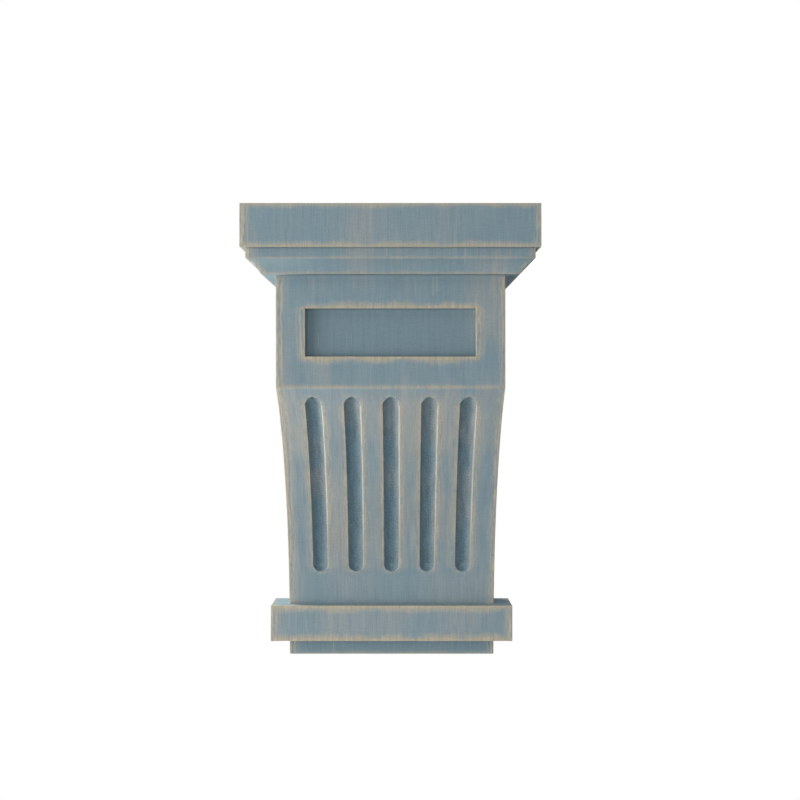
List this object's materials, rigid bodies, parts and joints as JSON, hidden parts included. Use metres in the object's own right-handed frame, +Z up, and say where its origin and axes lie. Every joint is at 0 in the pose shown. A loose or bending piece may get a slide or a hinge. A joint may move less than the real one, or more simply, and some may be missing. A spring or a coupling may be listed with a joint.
{
  "type": "fluted corbel",
  "caption": "Wall corbel in distressed blue paint: square cap on a coved moulding, upright block with a sunk panel, concave fluted shaft, and a projecting band over a small foot.",
  "frame": {"origin": "middle of the flat back face, where the corbel meets the wall", "axes": "+Z up along the height; +Y into the wall, so the fluted front faces -Y; X across the width"},
  "size_m": [0.1564, 0.1268, 0.254],
  "materials": {
    "distressed_paint": "slate-blue paint on wood, matt, streaked along the upright grain and rubbed through to pale wood on every edge"
  },
  "bodies": {
    "root": {"corbel": "distressed_paint"}
  },
  "joints": []
}
